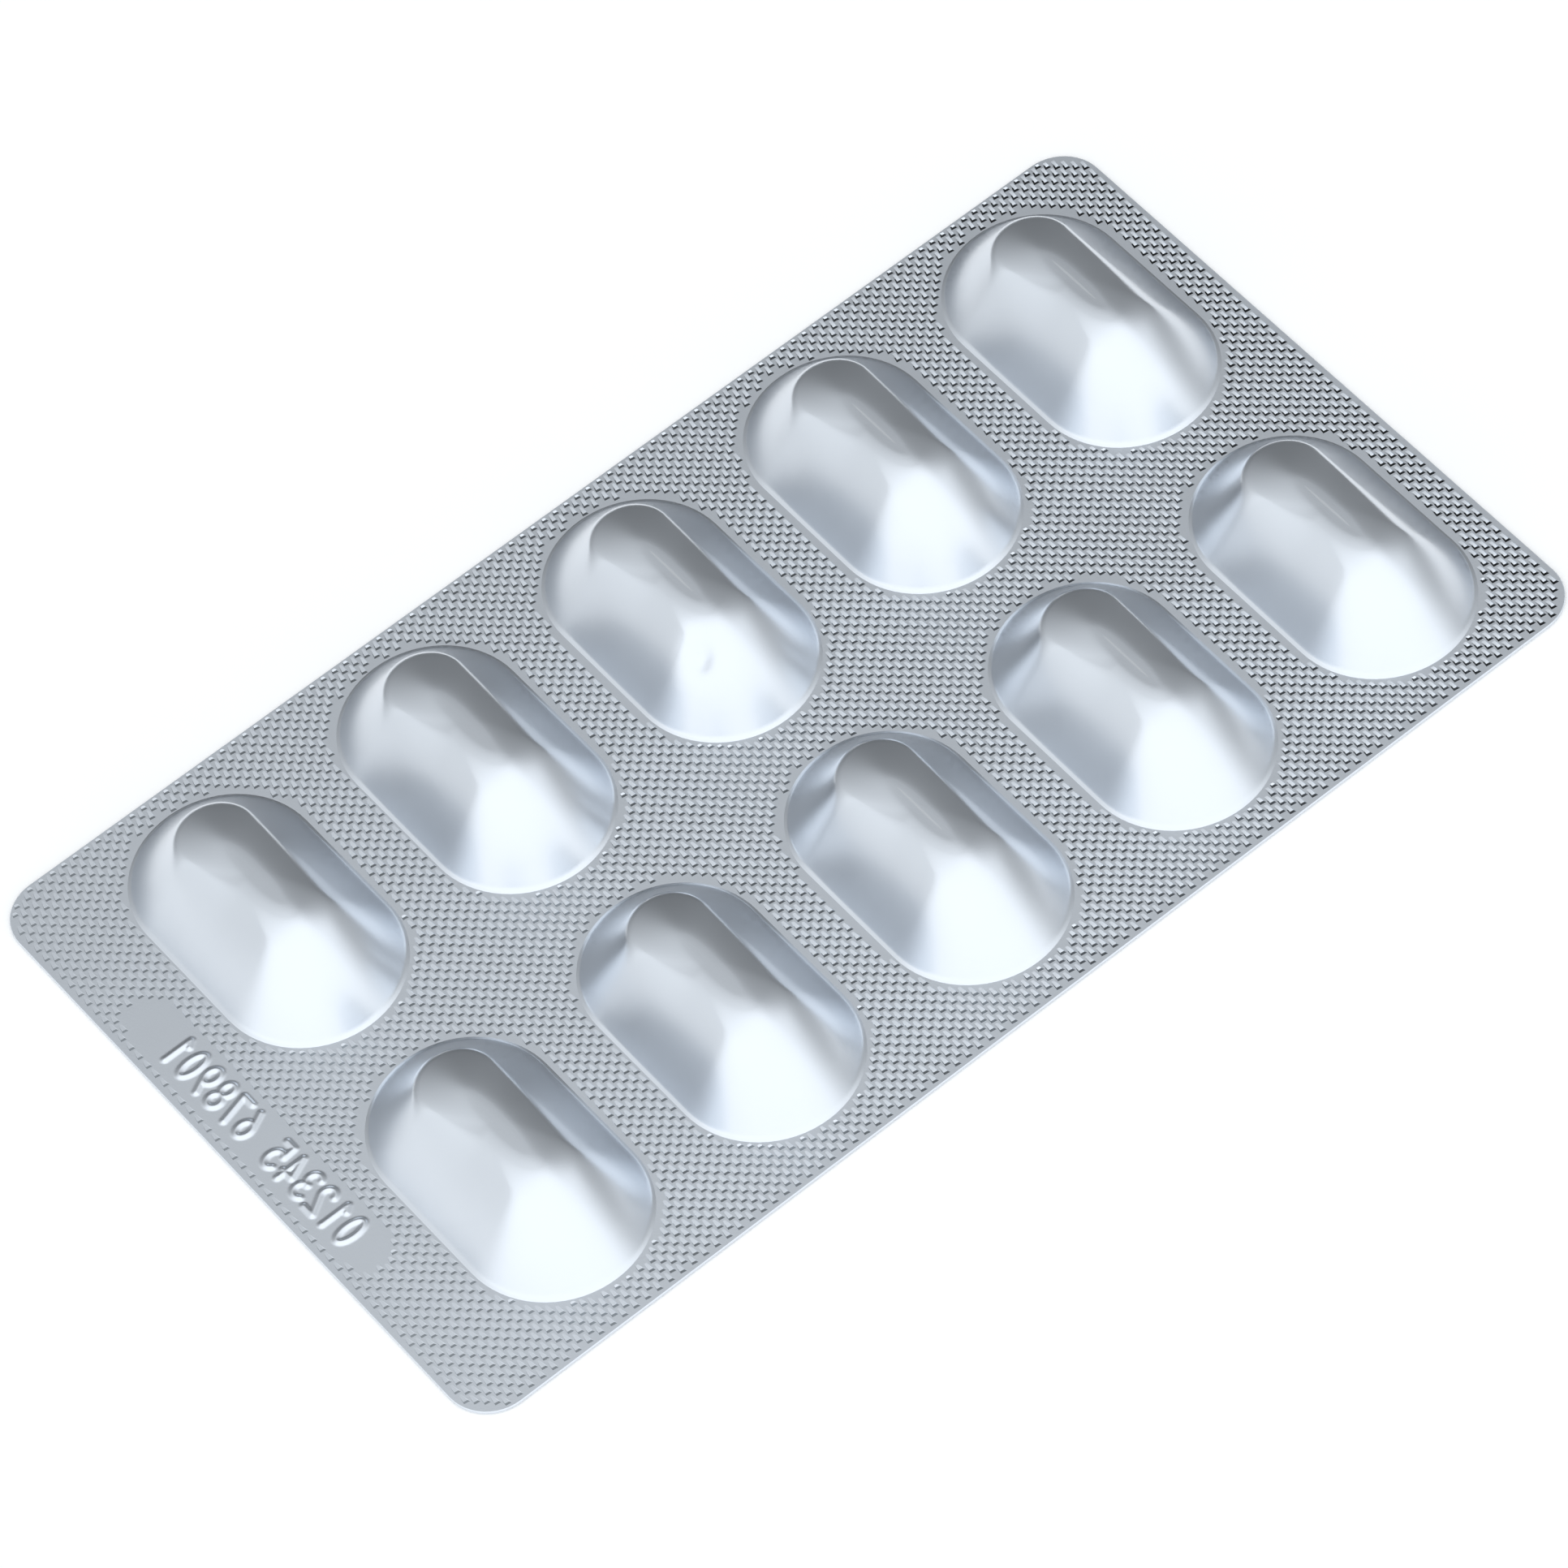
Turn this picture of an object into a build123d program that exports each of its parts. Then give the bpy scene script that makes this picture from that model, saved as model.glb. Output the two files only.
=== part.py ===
from build123d import *
from math import atan, tan
import os

# A sealed cold-formed foil blister pack: a flat sealed sheet that carries two rows of
# oblong pockets. The pack lies flat, pockets up, with its long side along X.
# The pack is sealed and opaque, so foils and contents are one closed solid.

# Outline of a pocket where it leaves the sheet
pocket_width = 16.4
pocket_length = 27.7

# Crest of a pocket, where the sloped walls end and the crown begins
crest_height = 6.3
crest_width = 7.3
crest_length = 17.8

# Flat of the crown, and how far it stands above the crest
crown_rise = 0.7
crown_width = 3.0
crown_length = 10.8

# Roundings: what the crown's takes of the flat, then the radius of the crest
crown_blend = 1.1
crest_radius = 0.6

# Pockets on the sheet, and the flat webs between them
columns = 5
rows = 2
column_web = 5.2
row_web = 4.55

# Sealed margins outside the pockets: the wide one carries the batch code
code_margin = 8.2
end_margin = 4.0
front_margin = 3.55
back_margin = 2.5

# The sheet: base foil and lidding foil sealed together, measured over the knurl
sheet_thickness = 0.3
sheet_corner_radius = 4.0

# Sizes that follow from the layout
sheet_length = code_margin + columns * pocket_width + (columns - 1) * column_web + end_margin
sheet_width = front_margin + rows * pocket_length + (rows - 1) * row_web + back_margin
column_pitch = pocket_width + column_web
row_pitch = pocket_length + row_web
array_centre = ((code_margin - end_margin) / 2, (front_margin - back_margin) / 2)
crest_level = sheet_thickness + crest_height
crown_level = crest_level + crown_rise

# Radius that rounds the crown's steeper slope within the blend
crown_run = min(crest_width - crown_width, crest_length - crown_length) / 2
crown_slope = atan(crown_rise / crown_run)
crown_radius = crown_blend / tan(crown_slope / 2)

# One pocket: steep walls up to the crest, then a shallow crown, both with oblong outlines
with BuildPart() as pocket:
    with BuildSketch(Plane.XY.offset(sheet_thickness)):
        SlotOverall(pocket_length, pocket_width, rotation=90)
    with BuildSketch(Plane.XY.offset(crest_level)):
        SlotOverall(crest_length, crest_width, rotation=90)
    with BuildSketch(Plane.XY.offset(crown_level)):
        SlotOverall(crown_length, crown_width, rotation=90)
    loft(ruled=True)
    crown_edges = pocket.edges().filter_by_position(Axis.Z, crown_level, crown_level)
    fillet(crown_edges, radius=crown_radius)
    crest_edges = pocket.edges().filter_by_position(Axis.Z, crest_level, crest_level)
    fillet(crest_edges, radius=crest_radius)

# The pack: the rounded sheet with its pockets
with BuildPart() as blister_pack:
    with BuildSketch():
        RectangleRounded(sheet_length, sheet_width, sheet_corner_radius)
    extrude(amount=sheet_thickness)
    with Locations(array_centre):
        with GridLocations(column_pitch, row_pitch, columns, rows):
            add(pocket.part)

blister_pack.part.label = "blister_pack"

os.makedirs("parts", exist_ok=True)
export_step(blister_pack.part, "parts/blister_pack.step")

print(f"sheet {sheet_length:.2f} x {sheet_width:.2f} x {sheet_thickness} mm")
print(f"pockets {columns} x {rows}, pitch {column_pitch:.2f} x {row_pitch:.2f} mm")
print(f"crown at {crown_level:.2f} mm above the underside")
print(f"volume {blister_pack.part.volume:.1f} mm3, solids {len(blister_pack.solids())}")
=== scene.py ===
# %% [markdown]
# A foil blister pack, dressed around its solid.
#
# The real pack is cold formed: punches press ten oblong pockets into a laminate of nylon film,
# aluminium and PVC, tablets drop in, and a lidding foil is heat sealed over the back. The packed
# solid holds the true size of all this as one closed body. It lacks what the eye goes to first:
# the fine knurl that the sealing tool leaves on every flat part, the soft creases of the pockets,
# the embossed batch digits and the satin shine. This file makes those and leaves the size alone.

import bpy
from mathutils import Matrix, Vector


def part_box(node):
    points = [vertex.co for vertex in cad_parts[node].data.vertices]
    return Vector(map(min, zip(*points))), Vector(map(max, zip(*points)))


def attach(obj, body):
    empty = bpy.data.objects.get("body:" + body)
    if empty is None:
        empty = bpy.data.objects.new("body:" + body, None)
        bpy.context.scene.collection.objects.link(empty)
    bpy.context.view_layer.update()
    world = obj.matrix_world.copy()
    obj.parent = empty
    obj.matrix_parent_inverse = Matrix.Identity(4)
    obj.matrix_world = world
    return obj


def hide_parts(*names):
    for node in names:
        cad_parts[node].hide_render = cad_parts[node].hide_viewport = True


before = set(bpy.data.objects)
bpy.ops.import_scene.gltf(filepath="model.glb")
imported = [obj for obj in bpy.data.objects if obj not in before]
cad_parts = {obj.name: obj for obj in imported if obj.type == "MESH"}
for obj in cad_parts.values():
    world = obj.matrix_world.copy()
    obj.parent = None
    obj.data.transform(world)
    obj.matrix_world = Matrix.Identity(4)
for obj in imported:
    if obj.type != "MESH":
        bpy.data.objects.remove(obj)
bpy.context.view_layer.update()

# %% Other modules
import math

import bpy
import numpy as np
from mathutils import Quaternion, Vector
from mathutils.geometry import delaunay_2d_cdt

print("Blender", bpy.app.version_string)

# %% [markdown]
# The layout.
#
# All shaping below is done in millimetres, because foil is talked about in tenths of them, and
# each mesh is turned into metres when it is made. The length and width of the sheet come from the
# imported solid. The margins and the pocket outline are the pack's own drawing sizes, and the pitch
# between pockets follows from them, so the pockets land exactly where the solid has them.

# %% Sheet and pocket sizes
MM = 0.001
low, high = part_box("blister_pack")
sheet_length = (high.x - low.x) / MM
sheet_width = (high.y - low.y) / MM
sheet_thickness = 0.3
corner_radius = 4.0

pocket_width = 16.4
pocket_length = 27.7
columns = 5
rows = 2
code_margin = 8.2
end_margin = 4.0
front_margin = 3.55
back_margin = 2.5

column_pitch = (sheet_length - code_margin - end_margin - pocket_width) / (columns - 1)
row_pitch = (sheet_width - front_margin - back_margin - pocket_length) / (rows - 1)
first_x = -sheet_length / 2 + code_margin + pocket_width / 2
first_y = -sheet_width / 2 + front_margin + pocket_length / 2
pockets = []
for row in range(rows):
    for column in range(columns):
        pockets.append((first_x + column * column_pitch, first_y + row * row_pitch))
print("pitch, mm:", round(column_pitch, 2), "by", round(row_pitch, 2))

# %% [markdown]
# The outline of a pocket.
#
# A pocket is a slot in plan: two half circles joined by straight sides. Every ring of the pocket
# mesh is such a slot, so one function that walks around it serves them all. The straight sides get
# points as well, because the crown of a pocket curves along its length too.

# %% Walk around a slot
ARC_STEPS = 34
SIDE_STEPS = 14


def slot_ring(centre, half_width, half_length, far_taper=0.0, near_taper=0.0):
    """Points around a slot with its long way along Y, counterclockwise from its right side.

    A taper makes that end longer than a half circle by so much, or blunter where it is negative.
    """
    ring = []
    far = half_width + far_taper
    near = half_width + near_taper
    # Each pass walks around one end, and then along the straight side after it
    for end, start_angle, reach, other in ((1, 0.0, far, near), (-1, math.pi, near, far)):
        straight = half_length - reach
        for number in range(ARC_STEPS):
            angle = start_angle + math.pi * number / ARC_STEPS
            ring.append((half_width * math.cos(angle), end * straight + reach * math.sin(angle)))
        run = straight + half_length - other
        for number in range(SIDE_STEPS):
            ring.append((-end * half_width, end * (straight - run * number / SIDE_STEPS)))
    return [(centre[0] + x, centre[1] + y) for x, y in ring]


def slot_gaps(places, centre, half_width, half_length):
    """How far each of many places is outside a slot around a centre, less than zero inside it."""
    across = places[..., 0] - centre[0]
    along = np.maximum(abs(places[..., 1] - centre[1]) - (half_length - half_width), 0)
    return np.hypot(across, along) - half_width


print("points in a ring:", len(slot_ring((0, 0), 1, 2)))

# %% [markdown]
# The section of a pocket.
#
# In cold forming the foil hangs as a straight wall between the tool's opening and the edge of the
# punch, and lies over the punch as a shallow crown. So the section runs through four corners: the
# foot, a narrow ledge that the edge of the tool leaves, the crest, and the flat of the crown. Each
# corner is written as three lengths: how far in from the side, how far in from the end, and how
# high. The crown eases out of the crest along a power curve, because that is what a stretched skin
# does over a flat with soft edges: a quick turn near the flat, and an even slope further out.
#
# On this pack the foil was drawn tight over the right and the far edge of the punch, which left a
# thin line there. On the left and at the near end it lies loose, and wall and crown run into each
# other. So there are two sections, one with a tight crest and one with a loose crest, and each
# pocket turns softly from one to the other on its way around. The crest is also blunter than a half
# circle at the near end, and the crown more pointed at both ends, which the two tapers say.

# %% Corners of the section
LEDGE_STEPS = 2
WALL_STEPS = 7
BEND_STEPS = 10
CROWN_STEPS = 9
foot = Vector((0.0, 0.0, 0.0))
ledge = Vector((0.32, 0.32, 0.15))
crest = Vector((4.7, 5.05, 6.2))
flat_edge = Vector((7.55, 10.0, 7.0))
flat_middle = Vector((8.1, 11.0, 7.0))
ledge_bend_from = 0.8
ledge_bend_until = 0.03
near_crest_taper = -0.6
crown_taper = 2.6
print("wall rises, mm:", round(crest.z - ledge.z, 2), "over", round(crest.x - ledge.x, 2))


# %% Walk along the section
def crown(share, power):
    """A place on the crown, from the crest at 0 to the edge of the flat at 1."""
    place = crest.lerp(flat_edge, share)
    place.z = crest.z + (flat_edge.z - crest.z) * (1 - max(1 - share, 0) ** power)
    return place


def bend(before, corner, after, steps):
    """Places around a rounded corner, from before to after."""
    places = []
    for number in range(steps + 1):
        share = number / steps
        places.append(before.lerp(corner, share).lerp(corner.lerp(after, share), share))
    return places


def bend_corner(arrive, power):
    """Where the line of the wall meets the slope that the crown has at a share of its way."""
    climb = (flat_edge.z - crest.z) * power * (1 - arrive) ** (power - 1)
    level = crown(arrive, power).z - climb * arrive
    steepness = (crest.z - ledge.z) / (crest.x - ledge.x)
    past = (level - crest.z) / (steepness - climb / (flat_edge.x - crest.x))
    return ledge.lerp(crest, 1 + past / (crest.x - ledge.x))


def pocket_section(leave, arrive, power):
    """The places from the foot to the middle of the crown.

    The wall bends into the crest where it has gone the share leave of its way, and the bend ends
    where the crown has gone the share arrive of its own.
    """
    places = [foot, foot.lerp(ledge, 0.5)]
    bend_end = ledge.lerp(crest, ledge_bend_until)
    places += bend(foot.lerp(ledge, ledge_bend_from), ledge, bend_end, LEDGE_STEPS)
    places += [ledge.lerp(crest, leave * number / WALL_STEPS) for number in range(1, WALL_STEPS)]
    wall_end = ledge.lerp(crest, leave)
    places += bend(wall_end, bend_corner(arrive, power), crown(arrive, power), BEND_STEPS)
    for number in range(1, CROWN_STEPS + 1):
        places.append(crown(arrive + (1 - arrive) * number / CROWN_STEPS, power))
    return places + [flat_middle]


tight_section = pocket_section(0.94, 0.1, 1.6)
loose_section = pocket_section(0.3, 0.6, 1.9)
print("rings in a pocket:", len(tight_section), "and", len(loose_section))

# %% Where the crest is loose
loose_from = (138, 185)
loose_until = (285, 382)


def ease(value, start, end):
    """Goes softly from 0 at start to 1 at end."""
    share = min(max((value - start) / (end - start), 0), 1)
    return share * share * (3 - 2 * share)


def looseness():
    """How loose the crest is at each point of a ring, by the way around from the right side."""
    amounts = []
    for x, y in slot_ring((0, 0), pocket_width / 2, pocket_length / 2):
        way = math.degrees(math.atan2(y / pocket_length, x / pocket_width)) % 360
        # The way back to tight ends past 360 degrees, so it is looked up one turn further on as well
        tightened = ease(way, *loose_until) + ease(way + 360, *loose_until) - 1
        amounts.append(ease(way, *loose_from) - tightened)
    return amounts


loose = looseness()
print("loose points in a ring:", sum(amount > 0.5 for amount in loose))

# %% [markdown]
# Marks of handling.
#
# The tablets press from inside, so the ridge of some crowns is worn flat by a few microns, and one
# pocket of the back row has a dent near its front. Pressing both into the rings of points is
# simpler than a sculpted mark, and the ridge takes a duller, slightly lighter foil later on, whose
# lightness is a painted highlight. Pockets are numbered from the code side, the front row first.

# %% Flats and dents
flats = {2: 0.004, 3: 0.005, 4: 0.004, 7: 0.004, 8: 0.005, 9: 0.004}
dents = {7: [((-2.9, -7.3), 1.1, 1.0)]}
print("pockets with a rubbed ridge:", len(flats))

# %% [markdown]
# A patch of sheet that collects points.
#
# The flat of the pack is one plane full of holes, pits and digits. Bridging all that by hand would
# be a puzzle. Instead every feature drops its points, with their heights, into one patch, and adds
# the edges that must stay as edges. Blender's constrained triangulation then joins all of them in
# the plane in about a second.

# %% The patch
same_place = 1e-6


class Patch:
    """Points in the plane with a height each, and the edges between them that have to be kept."""

    def __init__(self):
        self.places = []
        self.heights = []
        self.edges = []
        self.creases = []

    def loop(self, ring, height, crease=True):
        """Adds a closed outline, as a crease or not, and returns the numbers of its points."""
        start = len(self.places)
        count = len(ring)
        self.places += ring
        self.heights += [height] * count
        around = [(start + i, start + (i + 1) % count) for i in range(count)]
        self.edges += around
        self.creases += around if crease else []
        return range(start, start + count)

    def dot(self, place, height):
        """Adds a single point and returns its number."""
        self.places.append(place)
        self.heights.append(height)
        return len(self.places) - 1

    def fold(self, *numbers):
        """Keeps the edges along a row of points, as creases."""
        row = list(zip(numbers, numbers[1:]))
        self.edges += row
        self.creases += row

    def faces(self, holes=()):
        """Triangles over all the points, without those inside the slots in holes."""
        flat = [Vector(place) for place in self.places]
        joined, _, triangles, *_ = delaunay_2d_cdt(flat, self.edges, [], 0, same_place)
        if len(joined) != len(flat):
            raise RuntimeError("features of the sheet run into each other")
        middles = np.array(self.places)[np.array(triangles)].mean(axis=1)
        outside = np.ones(len(triangles), dtype=bool)
        for centre, half_width, half_length in holes:
            outside &= slot_gaps(middles, centre, half_width, half_length) > 0
        return [tuple(triangle) for triangle, kept in zip(triangles, outside) if kept]


print("points nearer than this are one, mm:", same_place)

# %% Outline of the sheet
CORNER_STEPS = 12
rim_spacing = 0.8


def sheet_ring(inset, spacing):
    """Points around the sheet's outline with its round corners, moved in by inset."""
    half_x = sheet_length / 2 - corner_radius
    half_y = sheet_width / 2 - corner_radius
    radius = corner_radius - inset
    ring = []
    corners = ((1, 1, 0), (-1, 1, 90), (-1, -1, 180), (1, -1, 270))
    for number, (side_x, side_y, start) in enumerate(corners):
        for turn in range(CORNER_STEPS + 1):
            angle = math.radians(start + 90 * turn / CORNER_STEPS)
            x = side_x * half_x + radius * math.cos(angle)
            y = side_y * half_y + radius * math.sin(angle)
            ring.append((x, y))
        # The straight side goes on from the last point of the corner
        run = 2 * (half_x if number % 2 == 0 else half_y)
        way_x, way_y = ((-1, 0), (0, -1), (1, 0), (0, 1))[number]
        pieces = round(run / spacing)
        for piece in range(1, pieces):
            ring.append((x + way_x * run * piece / pieces, y + way_y * run * piece / pieces))
    return ring


print("points around the sheet:", len(sheet_ring(0, rim_spacing)))

# %% [markdown]
# The knurl.
#
# The sealing tool is a plate of tiny teeth in a staggered square pattern, and the foil is dragged a
# little as the teeth sink in. Each tooth leaves a pit like a roof shingle: one short steep wall,
# which reads as a dark dash, a hook of wall down its left side, and a long floor that climbs back
# to the sheet. In this pack the tool pressed harder towards the far short side, so width and depth
# grow along the sheet until the pits almost touch. A bump map could draw all this, but the dashes
# are the first thing seen on the real pack, so they are cut into the mesh. Near a pocket, the
# smooth band or the cut edge a pit gets a shorter floor, and where even a stub has no room, none.
#
# A pit is drawn along and across its own middle line. Six of its sizes change along the sheet, from
# a light pit to a hard one: half the width of the dash, the run and the depth of the steep wall,
# the width of the hook, the share of the depth that is left at the middle of the floor, and half
# the width of the tip. Each changes by a power of the way along the sheet: with a power under one
# most of the change comes early, and with a power over one most of it comes late.

# %% Shape of a pit
pit_pitch = 0.585
light_pit = {"half": 0.25, "run": 0.2, "depth": 0.015, "hook": 0.03, "middle": 0.62, "tip": 0.09}
hard_pit = {"half": 0.28, "run": 0.29, "depth": 0.105, "hook": 0.19, "middle": 0.42, "tip": 0.16}
change_power = {"half": 0.35, "run": 0.35, "depth": 0.55, "hook": 1.3, "middle": 1.3, "tip": 1.3}
steep_rim = -0.42
right_shoulder = -0.1
left_shoulder = 0.12
waist = 0.75
side_run = 0.03
middle_at = 0.36
tip = 0.55
short_tip = 0.3
stub_tip = 0.04
shoulder_room = 0.08
dash_slope = -0.17
far_lean = 0.16
lean_until = 30
print("depth of a pit, mm:", light_pit["depth"], "to", hard_pit["depth"])


# %% Outline of a pit
def pit_size(name, x):
    """A size of the pit at this place along the sheet, which the tool pressed harder further on."""
    share = max(x / sheet_length + 0.5, 0)
    return light_pit[name] + (hard_pit[name] - light_pit[name]) * share ** change_power[name]


def pit_place(x, y, across, along):
    """A place in a pit, with the slope of its dash and the lean of its tip."""
    lean = far_lean * min(max(y / lean_until, 0), 1)
    return (x + across + lean * (along - steep_rim), y + along + dash_slope * across)


def rim_reach(x, side, along, tip_along):
    """How far the rim of a pit is from its middle line, on its right (1) or left (-1) side."""
    half = pit_size("half", x)
    shoulder = min(right_shoulder if side == 1 else left_shoulder, tip_along - shoulder_room)
    reaches = (half, waist * half, pit_size("tip", x))
    reach = np.interp(along, (steep_rim, shoulder, tip_along), reaches)
    return side * float(reach)


def pit_rim(x, y, tip_along):
    """The outline of a pit, counterclockwise from the right end of its dash."""
    right_turn = min(right_shoulder, tip_along - shoulder_room)
    left_turn = min(left_shoulder, tip_along - shoulder_room)
    outline = [(1, steep_rim), (1, right_turn), (1, tip_along)]
    outline += [(-1, tip_along), (-1, left_turn), (-1, steep_rim)]
    return [pit_place(x, y, rim_reach(x, side, along, tip_along), along) for side, along in outline]


print("width of a pit in the middle of the sheet, mm:", round(2 * pit_size("half", 0), 2))

# %% Room for the pits
relief = 0.06
relief_shift = (0.02, -0.02)
edge_room = 0.08
band_low = (-56.0, -15.4)
band_high = (-52.0, 17.2)


def pocket_gaps(places):
    """Distance of each place from the nearest pocket, less the relief that the tool has around it."""
    gaps = []
    for cx, cy in pockets:
        centre = (cx + relief_shift[0], cy + relief_shift[1])
        gaps.append(slot_gaps(places, centre, pocket_width / 2, pocket_length / 2))
    return np.min(gaps, axis=0) - relief


def band_gaps(places):
    """Distance of each place from the smooth band that carries the digits."""
    centre = ((band_low[0] + band_high[0]) / 2, (band_low[1] + band_high[1]) / 2)
    half_width = (band_high[0] - band_low[0]) / 2
    half_length = (band_high[1] - band_low[1]) / 2
    return slot_gaps(places, centre, half_width, half_length)


def edge_gaps(places):
    """Distance of each place from the cut edge, up to the corner radius, less the room left there."""
    past_x = np.maximum(abs(places[..., 0]) - (sheet_length / 2 - corner_radius), 0)
    past_y = np.maximum(abs(places[..., 1]) - (sheet_width / 2 - corner_radius), 0)
    return corner_radius - np.hypot(past_x, past_y) - edge_room


def clear_room(rims):
    """The least room around each rim."""
    rooms = np.minimum(pocket_gaps(rims), band_gaps(rims))
    return np.minimum(rooms, edge_gaps(rims)).min(axis=1)


print("room in the middle of the sheet, mm:", round(float(clear_room(np.zeros((1, 1, 2)))[0]), 2))

# %% Places of the pits
pit_room = 0.03
full_depth_room = 0.6
edge_depth = 0.7


def knurl_places():
    """Centre, tip, rim and depth of every pit that has room, with as long a floor as fits."""
    count_x = int(sheet_length / 2 / pit_pitch)
    count_y = int(sheet_width / 2 / pit_pitch)
    centres = []
    for i in range(-count_x, count_x + 1):
        for j in range(-count_y, count_y + 1):
            if (i + j) % 2 == 0:
                centres.append((i * pit_pitch, j * pit_pitch))
    # A pit with a longer floor takes the place of a shorter one wherever it fits
    found = {}
    for tip_along in (stub_tip, short_tip, tip):
        rims = np.array([pit_rim(x, y, tip_along) for x, y in centres])
        for (x, y), rim, room in zip(centres, rims.tolist(), clear_room(rims)):
            if room >= pit_room:
                depth_share = edge_depth + (1 - edge_depth) * min(room / full_depth_room, 1)
                depth = pit_size("depth", x) * depth_share
                found[x, y] = (x, y, tip_along, [tuple(place) for place in rim], depth)
    return list(found.values())


pits = knurl_places()
print("pits in the knurl:", len(pits))

# %% [markdown]
# The batch digits.
#
# Blunt steel types push the code up from the back, so on this side it is raised, rounded and
# mirrored. Counting digits stand in for it here. Each digit is a few strokes, lines and arcs, in a
# box one wide and two high. The height of the foil at any place depends only on how near the
# nearest stroke is. A fine grid of points carries these heights, and goes on a little past the
# strokes, so that the foil is level again before the large triangles of the band begin.

# %% Strokes of the digits
ARC_TURN = 12


def arc(cx, cy, rx, ry, start, end):
    """Points on part of an ellipse, angles in degrees."""
    count = max(int(abs(end - start) / ARC_TURN), 2)
    angles = [math.radians(start + (end - start) * i / count) for i in range(count + 1)]
    return [(cx + rx * math.cos(a), cy + ry * math.sin(a)) for a in angles]


digit_strokes = {
    "0": [arc(0.5, 1.0, 0.5, 1.0, 0, 360)],
    "1": [[(0.2, 1.6), (0.6, 2.0), (0.6, 0.0)]],
    "2": [arc(0.5, 1.48, 0.5, 0.52, 160, -40) + [(0.0, 0.0), (1.0, 0.0)]],
    "3": [arc(0.45, 1.5, 0.5, 0.5, 140, -90), arc(0.45, 0.52, 0.55, 0.52, 90, -140)],
    "4": [[(0.75, 0.0), (0.75, 2.0), (0.0, 0.6), (1.0, 0.6)]],
    "5": [[(0.95, 2.0), (0.15, 2.0), (0.05, 1.15)] + arc(0.45, 0.65, 0.55, 0.65, 130, -140)],
    "6": [[(0.75, 2.0), (0.2, 1.1)] + arc(0.5, 0.6, 0.48, 0.6, 150, 510)],
    "7": [[(0.0, 2.0), (1.0, 2.0), (0.35, 0.0)]],
    "8": [arc(0.5, 1.5, 0.42, 0.5, -90, 270), arc(0.5, 0.5, 0.5, 0.5, 90, 450)],
    "9": [[(0.25, 0.0), (0.8, 0.9)] + arc(0.5, 1.4, 0.48, 0.6, -30, 330)],
}
code_text = "012345 678901"
digit_height = 2.7
digit_width = 1.15
digit_pitch = 1.92
code_start = -12.1
code_foot = -55.4


def code_lines():
    """Every straight piece of every stroke, as start and end places on the sheet."""
    lines = []
    for position, letter in enumerate(code_text):
        for stroke in digit_strokes.get(letter, []):
            spots = []
            for u, v in stroke:
                y = code_start + position * digit_pitch + u * digit_width
                x = code_foot + v * digit_height / 2
                spots.append((x, y))
            lines += list(zip(spots, spots[1:]))
    return np.array(lines)


strokes = code_lines()
print("straight pieces in the code:", len(strokes))

# %% Height of the digits
stroke_reach = 0.4
stroke_rise = 0.17
band_step = 0.12
level_steps = 2.2
band_side_room = 0.1
band_end_room = 0.4


def stroke_distances(places):
    """Distance from each place to the nearest stroke."""
    start = strokes[:, 0]
    along = strokes[:, 1] - start
    length_squared = (along ** 2).sum(1)
    nearest = np.full(len(places), np.inf)
    for origin, vector, squared in zip(start, along, length_squared):
        share = np.clip(((places - origin) @ vector) / squared, 0, 1)
        gap = np.linalg.norm(places - origin - share[:, None] * vector, axis=1)
        nearest = np.minimum(nearest, gap)
    return nearest


def code_points():
    """Places on the band that the digits need, with their heights."""
    xs = np.arange(band_low[0] + band_side_room, band_high[0], band_step)
    ys = np.arange(band_low[1] + band_end_room, band_high[1] - band_end_room, band_step)
    places = np.stack(np.meshgrid(xs, ys), -1).reshape(-1, 2)
    gaps = stroke_distances(places)
    near = gaps < stroke_reach + level_steps * band_step
    share = np.clip(gaps[near] / stroke_reach, 0, 1)
    heights = stroke_rise * (0.5 + 0.5 * np.cos(math.pi * share))
    return places[near].tolist(), heights.tolist()


band_places, band_heights = code_points()
print("points under the digits:", len(band_places))

# %% [markdown]
# The formed foil.
#
# Now the patch is filled: the rim of the sheet, the foot of each pocket, the pits and the digits.
# The pockets stand on their foot rings and grow ring by ring to a ridge line. The foil is closed
# at its cut edge and underneath, so that it is a true solid.

# %% Faces between rings
rim_round = 0.06
foil_seam = 0.1


def ring_pair(low_ring, high_ring):
    """Quads between two rings of the same count."""
    count = len(low_ring)
    quads = []
    for i in range(count):
        j = (i + 1) % count
        quads.append((low_ring[i], low_ring[j], high_ring[j], high_ring[i]))
    return quads


def ridge_cap(ring):
    """Closes the last narrow ring with quads across it, and with a triangle at each end."""
    count = len(ring)
    quarter = ARC_STEPS // 2
    faces = []
    for i in range(count // 2):
        a = ring[(quarter + i) % count]
        b = ring[(quarter + i + 1) % count]
        c = ring[(quarter - i - 1) % count]
        d = ring[(quarter - i) % count]
        # At either end two of the four corners are one point, which a face may name only once
        faces.append(tuple(dict.fromkeys((a, b, c, d))))
    return faces


def close_below(vertices, rim, bottom):
    """Adds the cut edge and the underside below a rim, and returns their faces."""
    start = len(vertices)
    vertices += [(vertices[i][0], vertices[i][1], bottom) for i in rim]
    under = list(range(start, len(vertices)))
    return ring_pair(under, list(rim)) + [tuple(reversed(under))]


print("faces in a ring:", len(ring_pair(loose, loose)))


# %% Grow a pocket
def mark_pocket(number, ring):
    """Presses the flat and the dents of this pocket into a ring of points."""
    centre = Vector(pockets[number])
    ceiling = sheet_thickness + flat_edge.z - flats.get(number, 0)
    for spot in ring:
        spot.z = min(spot.z, ceiling)
        for where, radius, depth in dents.get(number, []):
            gap = (spot.xy - centre - Vector(where)).length / radius
            spot.z -= depth * math.exp(-gap * gap)


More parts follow.
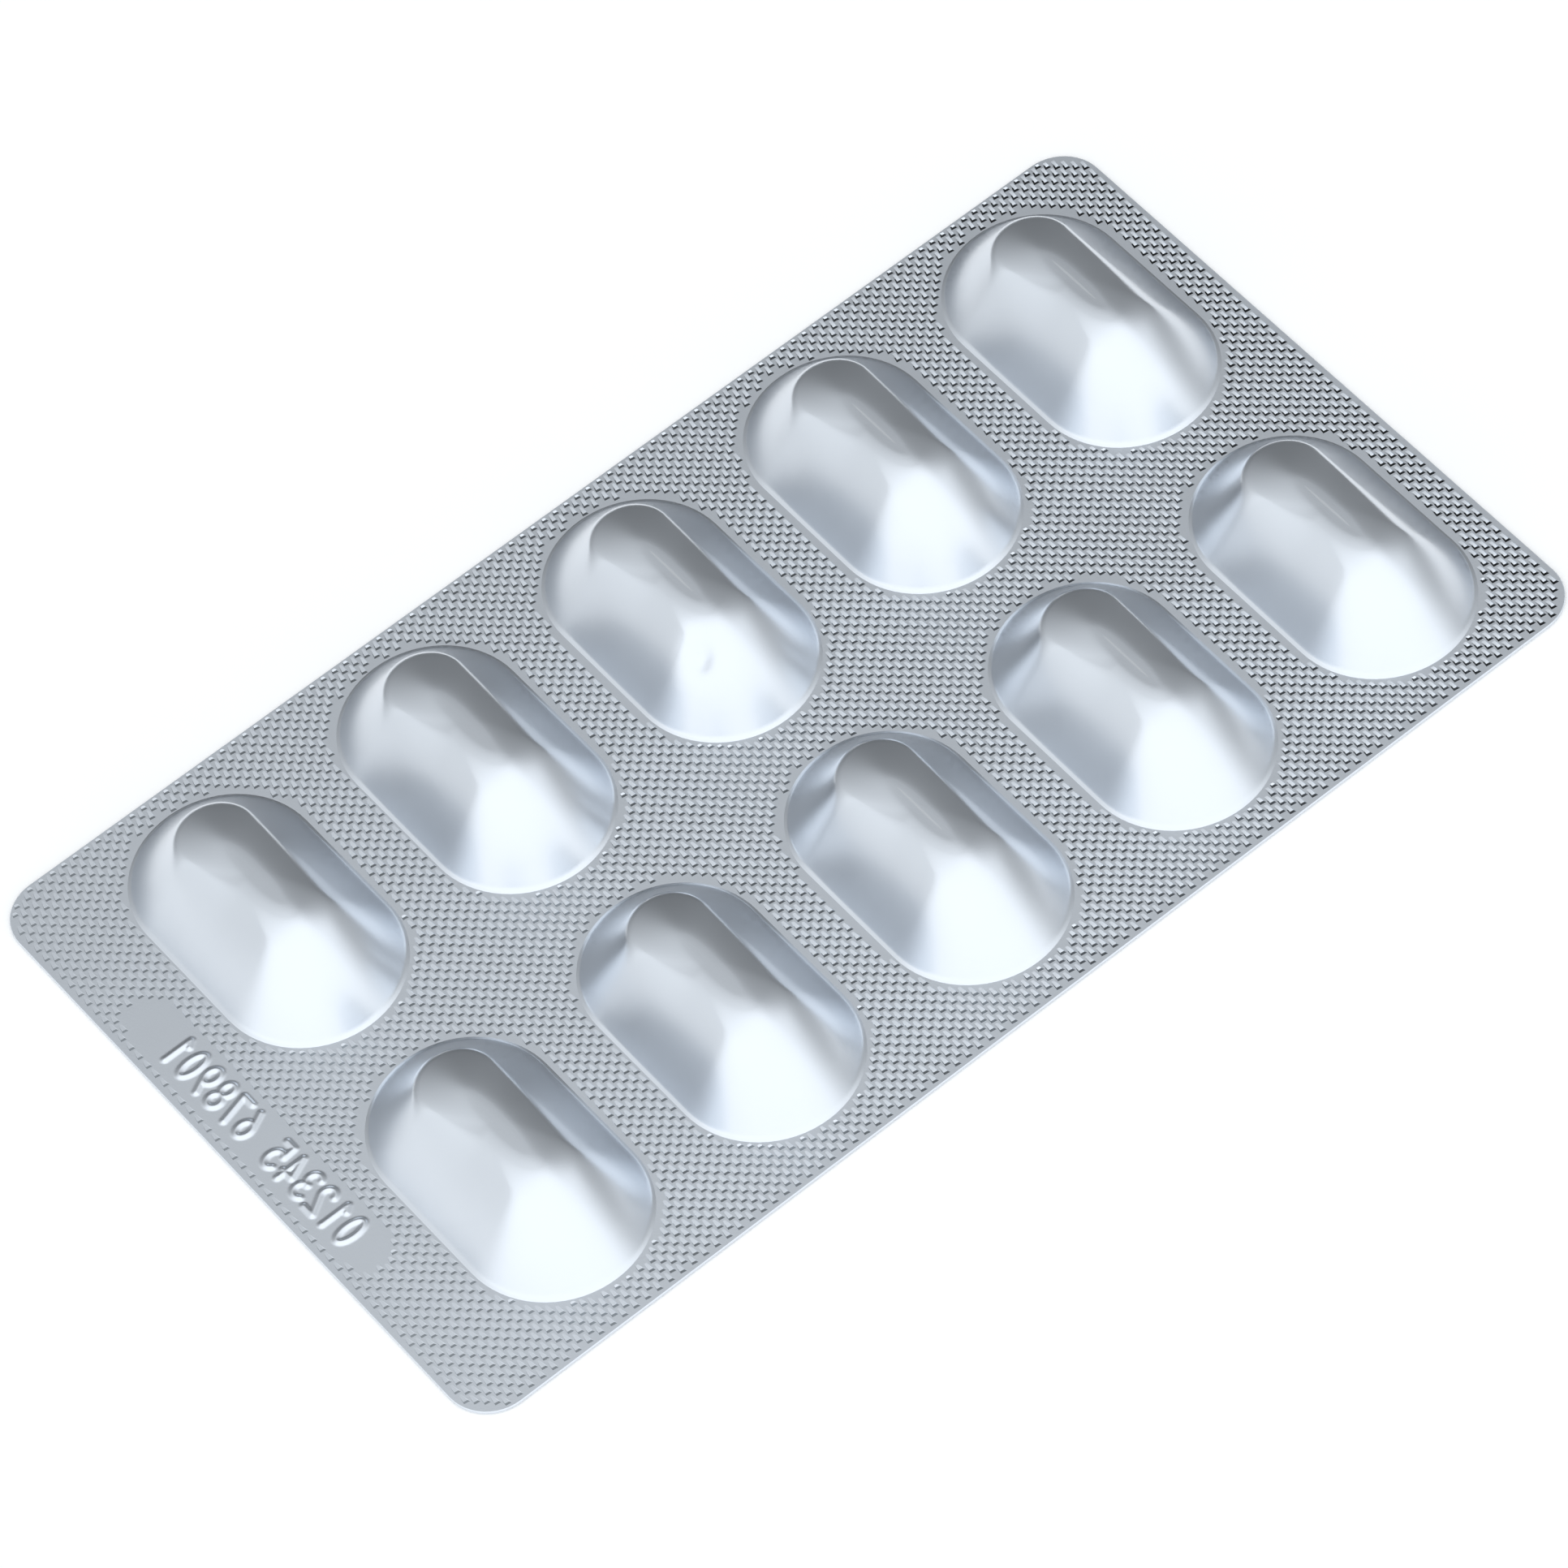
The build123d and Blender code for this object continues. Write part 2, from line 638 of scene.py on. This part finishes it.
def ring_at(centre, place):
    """The ring of a pocket through one place of its section."""
    half_width = pocket_width / 2 - place.x
    half_length = pocket_length / 2 - place.y
    levels = (0, crest.z, flat_edge.z)
    far_taper = float(np.interp(place.z, levels, (0, 0, crown_taper)))
    near_taper = float(np.interp(place.z, levels, (0, near_crest_taper, crown_taper)))
    ring = slot_ring(centre, half_width, half_length, far_taper, near_taper)
    return [Vector((x, y, sheet_thickness + place.z)) for x, y in ring]


def pocket_rings(number, foot_ring, vertices):
    """Grows one pocket from its foot ring and returns its faces."""
    centre = pockets[number]
    faces = []
    lower = list(foot_ring)
    for tight, slack in zip(tight_section[1:], loose_section[1:]):
        start = len(vertices)
        pairs = zip(ring_at(centre, tight), ring_at(centre, slack), loose)
        ring = [tight_place.lerp(slack_place, amount) for tight_place, slack_place, amount in pairs]
        mark_pocket(number, ring)
        vertices += [tuple(spot) for spot in ring]
        upper = list(range(start, len(vertices)))
        faces += ring_pair(lower, upper)
        lower = upper
    return faces + ridge_cap(lower)


print("top of a pocket, mm:", round(sheet_thickness + flat_edge.z, 2))

# %% Make a piece
smooth_angle = 50


def crease_edges(mesh, creases):
    """Marks these edges sharp, so that the flat sheet shades flat right up to them."""
    pairs = np.empty(len(mesh.edges) * 2, dtype=np.int64)
    mesh.edges.foreach_get("vertices", pairs)
    pairs = np.sort(pairs.reshape(-1, 2), axis=1)
    wanted = np.sort(np.array(creases, dtype=np.int64), axis=1)
    # The numbers of an edge's two points make one number, so that all edges are compared at once
    count = len(mesh.vertices)
    sharp = np.isin(pairs[:, 0] * count + pairs[:, 1], wanted[:, 0] * count + wanted[:, 1])
    marks = mesh.attributes["sharp_edge"].data
    before = np.empty(len(marks), dtype=bool)
    marks.foreach_get("value", before)
    marks.foreach_set("value", before | sharp)


def make_piece(name, vertices, faces, creases, painted_pit_shade=(), rubbed_and_highlight=()):
    """A mesh object in metres, smooth except at its creases and square corners."""
    mesh = bpy.data.meshes.new(name)
    mesh.from_pydata([(x * MM, y * MM, z * MM) for x, y, z in vertices], [], faces)
    for foil in (satin_foil, pit_shade_foil, rubbed_and_highlight_foil):
        mesh.materials.append(foil)
    # The second foil paints shade on the steep walls of the pits. The third is a worn foil whose lighter
    # colour paints a highlight along the ridges.
    for slot, numbers in ((1, painted_pit_shade), (2, rubbed_and_highlight)):
        for number in numbers:
            mesh.polygons[number].material_index = slot
    mesh.validate()
    mesh.shade_smooth()
    mesh.set_sharp_from_angle(angle=math.radians(smooth_angle))
    crease_edges(mesh, creases)
    piece = bpy.data.objects.new(name, mesh)
    bpy.context.collection.objects.link(piece)
    print(name, "has", sum(len(p.vertices) - 2 for p in mesh.polygons), "triangles")
    return piece


print("corners turn sharp above, degrees:", smooth_angle)

# %% Sink the pits
side_middle_share = 0.5
hook_middle_share = 0.8


def sink_pit(patch, x, y, tip_along, rim, depth):
    """Adds one pit and returns the corners of its two steep walls.

    A pit is its rim, the deep edge below the dash, the hook on its left and the corners of its floor.
    """
    near_right, right, far_right, far_left, left, near_left = patch.loop(rim, sheet_thickness)
    deep_along = steep_rim + pit_size("run", x)
    middle_along = deep_along + middle_at * (tip_along - deep_along)
    floor = []
    for side, along, share, wall_run in (
        (-1, deep_along, 1.0, pit_size("hook", x)),
        (1, deep_along, 1.0, side_run),
        (1, middle_along, pit_size("middle", x), side_run * side_middle_share),
        (-1, middle_along, pit_size("middle", x), pit_size("hook", x) * hook_middle_share),
    ):
        across = rim_reach(x, side, along, tip_along) - side * wall_run
        floor.append(patch.dot(pit_place(x, y, across, along), sheet_thickness - depth * share))
    deep_left, deep_right, middle_right, middle_left = floor
    patch.fold(near_left, deep_left, deep_right, near_right)
    patch.fold(deep_left, middle_left, far_left)
    patch.fold(deep_right, middle_right, far_right)
    patch.fold(left, middle_left)
    return [(near_left, near_right, deep_left, deep_right), (near_left, deep_left, middle_left, left)]


def wall_faces(faces, walls):
    """The numbers of the faces that have all their corners on one of the steep walls."""
    walls_of = {}
    for number, corners in enumerate(walls):
        for corner in corners:
            walls_of.setdefault(corner, set()).add(number)
    found = []
    for number, (a, b, c) in enumerate(faces):
        if walls_of.get(a, set()) & walls_of.get(b, set()) & walls_of.get(c, set()):
            found.append(number)
    return found


print("points of one pit:", len(pits[0][3]) + 4)


# %% Put the formed foil together
def formed_foil_mesh():
    """Vertices, faces and creases of the formed foil in millimetres, then its pit walls of painted shade
    and its ridges with a painted highlight.
    """
    patch = Patch()
    rim = patch.loop(sheet_ring(0, rim_spacing), sheet_thickness - rim_round, crease=False)
    patch.loop(sheet_ring(rim_round, rim_spacing), sheet_thickness)
    feet = []
    holes = []
    for centre in pockets:
        feet.append(patch.loop(slot_ring(centre, pocket_width / 2, pocket_length / 2), sheet_thickness))
        holes.append((centre, pocket_width / 2, pocket_length / 2))
    walls = []
    for pit in pits:
        walls += sink_pit(patch, *pit)
    for place, height in zip(band_places, band_heights):
        patch.dot(tuple(place), sheet_thickness + height)
    faces = patch.faces(holes)
    # The steep walls of the pits take the darker foil, which is painted shade.
    painted_pit_shade = wall_faces(faces, walls)
    vertices = [(x, y, z) for (x, y), z in zip(patch.places, patch.heights)]
    rubbed_and_highlight = []
    for number, foot_ring in enumerate(feet):
        faces += pocket_rings(number, foot_ring, vertices)
        # A worn ridge takes the duller foil, whose lighter colour is a painted highlight.
        if number in flats:
            rubbed_and_highlight += range(len(faces) - len(foot_ring) // 2, len(faces))
    faces += close_below(vertices, rim, foil_seam)
    print("scuffed faces:", len(painted_pit_shade))
    return vertices, faces, patch.creases, painted_pit_shade, rubbed_and_highlight


# %% [markdown]
# The finish.
#
# What shows is aluminium under a clear nylon film: metal with a soft, wide highlight, and a thin
# glossy coat. The grain of the rolled foil is a fine noise in the bump, and the film is a little
# duller in some places than in others, which is a cloud in the roughness. The same foil is needed
# three times. On the steep walls of the pits it is duller and darker, which is painted shade: these
# walls face only their neighbours and the dim corner of the room, and the shade is painted darker
# along the sheet, where the harder pressed pits are deeper. On the worn ridges it is duller and a
# little lighter, which is partly real wear and partly a painted highlight along the ridge.

# %% Clouds and grain
cloud_scale = 180
cloud_depth = 0.05
grain_scale = 6000
grain_strength = 0.15
grain_height = 0.00002


def noise(nodes, links, scale):
    """A noise from 0 to 1 that sticks to the foil."""
    place = nodes.new("ShaderNodeTexCoord")
    texture = nodes.new("ShaderNodeTexNoise")
    texture.inputs["Scale"].default_value = scale
    links.new(place.outputs["Object"], texture.inputs["Vector"])
    return texture.outputs["Fac"]


def clouded_roughness(nodes, links, roughness):
    """A roughness that is a little higher in some places than in others."""
    dullness = nodes.new("ShaderNodeMapRange")
    dullness.inputs["To Min"].default_value = roughness - cloud_depth
    dullness.inputs["To Max"].default_value = roughness + cloud_depth
    links.new(noise(nodes, links, cloud_scale), dullness.inputs["Value"])
    return dullness.outputs["Result"]


def rolled_grain(nodes, links):
    """The fine grain of rolled foil, as a bump."""
    bump = nodes.new("ShaderNodeBump")
    bump.inputs["Strength"].default_value = grain_strength
    bump.inputs["Distance"].default_value = grain_height
    links.new(noise(nodes, links, grain_scale), bump.inputs["Height"])
    return bump.outputs["Normal"]


print("height of the grain, mm:", round(grain_height / MM, 3))

# %% Foil under its film
coat_weight = 0.25
coat_roughness = 0.12


def shade_along_sheet(nodes, links, colour, dark_end):
    """A colour that darkens along the sheet to a share of itself at the far short side, as painted shade.
    """
    place = nodes.new("ShaderNodeTexCoord")
    split = nodes.new("ShaderNodeSeparateXYZ")
    links.new(place.outputs["Object"], split.inputs["Vector"])
    ramp = nodes.new("ShaderNodeMapRange")
    ramp.inputs["From Min"].default_value = -sheet_length / 2 * MM
    ramp.inputs["From Max"].default_value = sheet_length / 2 * MM
    ramp.inputs["To Min"].default_value = 1
    ramp.inputs["To Max"].default_value = dark_end
    links.new(split.outputs["X"], ramp.inputs["Value"])
    tone = nodes.new("ShaderNodeVectorMath")
    tone.operation = "SCALE"
    tone.inputs[0].default_value = colour
    links.new(ramp.outputs["Result"], tone.inputs["Scale"])
    return tone.outputs["Vector"]


def foil_material(name, colour, roughness, dark_end=1.0):
    """Film laminated aluminium foil."""
    material = bpy.data.materials.new(name)
    material.use_nodes = True
    nodes = material.node_tree.nodes
    links = material.node_tree.links
    shader = nodes["Principled BSDF"]
    shader.inputs["Base Color"].default_value = (*colour, 1)
    if dark_end < 1:
        links.new(shade_along_sheet(nodes, links, colour, dark_end), shader.inputs["Base Color"])
    shader.inputs["Metallic"].default_value = 1
    shader.inputs["Coat Weight"].default_value = coat_weight
    shader.inputs["Coat Roughness"].default_value = coat_roughness
    links.new(clouded_roughness(nodes, links, roughness), shader.inputs["Roughness"])
    links.new(rolled_grain(nodes, links), shader.inputs["Normal"])
    return material


print("share of film on the foil:", coat_weight)

# %% The three foils
satin_foil = foil_material("satin_foil", (0.76, 0.80, 0.855), 0.3)
# The foil of the steep pit walls is darker, which is painted shade, and it is darkest at the far short
# side.
pit_shade_foil = foil_material("pit_shade_foil", (0.5, 0.54, 0.58), 0.4, 0.06)
# The worn ridge foil is duller, and its lighter colour is a painted highlight along the ridge.
rubbed_and_highlight_foil = foil_material("rubbed_and_highlight_foil", (0.8, 0.83, 0.87), 0.42)
print("foils:", [foil.name for foil in (satin_foil, pit_shade_foil, rubbed_and_highlight_foil)])

# %% Formed foil
formed_foil = make_piece("formed_foil", *formed_foil_mesh())
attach(formed_foil, "root")
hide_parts("blister_pack")

# %% [markdown]
# The lidding foil.
#
# The back of the pack is a second, flat foil. The same teeth push it out a little between the
# pockets, so its underside rests on thousands of low bumps, and over each pocket it is smooth. The
# bumps are plain four sided ones, because the back shows no dashes. There is one under each pit,
# apart from the stubs.

# %% Lidding foil
bump_height = 0.035
lid_gap = 0.01


def lidding_foil_mesh():
    """Vertices, faces and creases of the lidding foil, in millimetres."""
    patch = Patch()
    flat = bump_height
    rim = patch.loop(sheet_ring(0, rim_spacing), flat)
    for x, y, tip_along, _, depth in pits:
        if tip_along == stub_tip:
            continue
        half = pit_size("half", x)
        square = [(x + half, y + half), (x - half, y + half), (x - half, y - half), (x + half, y - half)]
        patch.loop(square, flat)
        patch.dot((x, y), flat - bump_height * depth / hard_pit["depth"])
    faces = [tuple(reversed(face)) for face in patch.faces()]
    vertices = [(x, y, z) for (x, y), z in zip(patch.places, patch.heights)]
    start = len(vertices)
    vertices += [(vertices[i][0], vertices[i][1], foil_seam - lid_gap) for i in rim]
    top = list(range(start, len(vertices)))
    faces += ring_pair(list(rim), top) + [tuple(top)]
    return vertices, faces, patch.creases


lidding_foil = make_piece("lidding_foil", *lidding_foil_mesh())
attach(lidding_foil, "root")
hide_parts("blister_pack")

# %% [markdown]
# The floor.
#
# A pack shot stands on white. A floor lit to pure white would also flood the foil, so the floor is
# only pale, and a little glow makes up the rest where the camera, a mirror or a clear thing looks at
# it. So the foil mirrors a white table, the glow lights nothing that is dull, and the pack's soft
# shadow stays on the floor.

# %% Floor
floor_colour = (0.9, 0.9, 0.9, 1)
floor_roughness = 0.9
floor_glow = 0.2
floor_half = 3.0
floor_gap = 0.0001


def floor_material():
    """Pale matt floor that reads white in the camera and in the foil, and still takes a shadow."""
    material = bpy.data.materials.new("pale_floor")
    material.use_nodes = True
    nodes = material.node_tree.nodes
    links = material.node_tree.links
    shader = nodes["Principled BSDF"]
    shader.inputs["Base Color"].default_value = floor_colour
    shader.inputs["Roughness"].default_value = floor_roughness
    path = nodes.new("ShaderNodeLightPath")
    seen = path.outputs["Is Camera Ray"]
    for kind in ("Is Glossy Ray", "Is Transmission Ray"):
        either = nodes.new("ShaderNodeMath")
        either.operation = "MAXIMUM"
        links.new(seen, either.inputs[0])
        links.new(path.outputs[kind], either.inputs[1])
        seen = either.outputs[0]
    lift = nodes.new("ShaderNodeMath")
    lift.operation = "MULTIPLY"
    lift.inputs[1].default_value = floor_glow
    links.new(seen, lift.inputs[0])
    shader.inputs["Emission Color"].default_value = (1, 1, 1, 1)
    links.new(lift.outputs[0], shader.inputs["Emission Strength"])
    return material


floor_mesh = bpy.data.meshes.new("floor")
floor_corners = [(-floor_half, -floor_half, 0), (floor_half, -floor_half, 0)]
floor_corners += [(floor_half, floor_half, 0), (-floor_half, floor_half, 0)]
floor_mesh.from_pydata(floor_corners, [], [(0, 1, 2, 3)])
floor_mesh.materials.append(floor_material())
floor = bpy.data.objects.new("floor", floor_mesh)
floor.location.z = -floor_gap
bpy.context.collection.objects.link(floor)
print("floor, metres across:", 2 * floor_half)

# %% [markdown]
# The light.
#
# Foil is a mirror that is a little blurred, so its look is mostly a picture of the room. Lamps alone
# would leave it black between their spots. A studio with large pale walls is a gentle change of
# strength with direction, which the world's background can hold: bright on the side of the big
# window of light, and one dim corner away from it. Two directions and two soft steps describe it.

# %% Light by direction
light_colour = (0.95, 0.98, 1.0, 1)
bright_azimuth = 200
bright_elevation = 11
bright_from = -0.56
bright_to = 0.0
side_strength = 0.52
bright_strength = 1.3
dim_azimuth = 80
dim_elevation = -9
dim_from = -0.2
dim_to = 0.83
dim_share = 0.31


def direction(azimuth, elevation):
    """A unit vector, with angles in degrees and azimuth counterclockwise from +X."""
    turn = math.radians(azimuth)
    rise = math.radians(elevation)
    return (math.cos(rise) * math.cos(turn), math.cos(rise) * math.sin(turn), math.sin(rise))


def soft_step(tree, place, towards, start, end, low_value, high_value):
    """A value that goes softly from low to high as the view turns towards a direction."""
    likeness = tree.nodes.new("ShaderNodeVectorMath")
    likeness.operation = "DOT_PRODUCT"
    likeness.inputs[1].default_value = towards
    tree.links.new(place, likeness.inputs[0])
    ramp = tree.nodes.new("ShaderNodeMapRange")
    ramp.interpolation_type = "SMOOTHSTEP"
    ramp.inputs["From Min"].default_value = start
    ramp.inputs["From Max"].default_value = end
    ramp.inputs["To Min"].default_value = low_value
    ramp.inputs["To Max"].default_value = high_value
    tree.links.new(likeness.outputs["Value"], ramp.inputs["Value"])
    return ramp.outputs["Result"]


print("brightest towards:", [round(part, 2) for part in direction(bright_azimuth, bright_elevation)])


# %% Studio
def studio_world():
    """A studio with a bright side and one dim corner."""
    world = bpy.data.worlds.new("studio")
    world.use_nodes = True
    tree = world.node_tree
    place = tree.nodes.new("ShaderNodeTexCoord").outputs["Generated"]
    bright = direction(bright_azimuth, bright_elevation)
    walls = soft_step(tree, place, bright, bright_from, bright_to, side_strength, bright_strength)
    corner = soft_step(tree, place, direction(dim_azimuth, dim_elevation), dim_from, dim_to, 1, dim_share)
    strength = tree.nodes.new("ShaderNodeMath")
    strength.operation = "MULTIPLY"
    tree.links.new(walls, strength.inputs[0])
    tree.links.new(corner, strength.inputs[1])
    background = tree.nodes["Background"]
    background.inputs["Color"].default_value = light_colour
    tree.links.new(strength.outputs[0], background.inputs["Strength"])
    return world


bpy.context.scene.world = studio_world()
print("light towards the dim corner:", round(side_strength * dim_share, 2), "of white")

# %% [markdown]
# The camera.
#
# A long lens from well above keeps the rows of pockets nearly parallel. The camera looks at a point
# near the middle of the pack from one side and a little rolled, so that the pack runs up across the
# frame. Place and aim follow from a distance and three angles.

# %% Camera
camera_target = Vector((-2.0, -2.0, sheet_thickness)) * MM
camera_distance = 0.6888
camera_azimuth = math.radians(-29.44)
camera_elevation = math.radians(55.18)
camera_roll = math.radians(-11.5)
lens = 194.4

camera = bpy.data.objects.new("camera", bpy.data.cameras.new("camera"))
bpy.context.collection.objects.link(camera)
level = math.cos(camera_elevation)
away = Vector((math.sin(camera_azimuth) * level, -math.cos(camera_azimuth) * level, 0))
away.z = math.sin(camera_elevation)
camera.location = camera_target + away * camera_distance
camera.rotation_mode = "QUATERNION"
camera.rotation_quaternion = away.to_track_quat("Z", "Y") @ Quaternion((0, 0, 1), camera_roll)
camera.data.lens = lens
camera.data.sensor_width = 36
camera.data.clip_start = 0.01
bpy.context.scene.camera = camera
bpy.context.scene.view_settings.view_transform = "Standard"
print("camera above the pack, metres:", round(camera.location.z, 3))
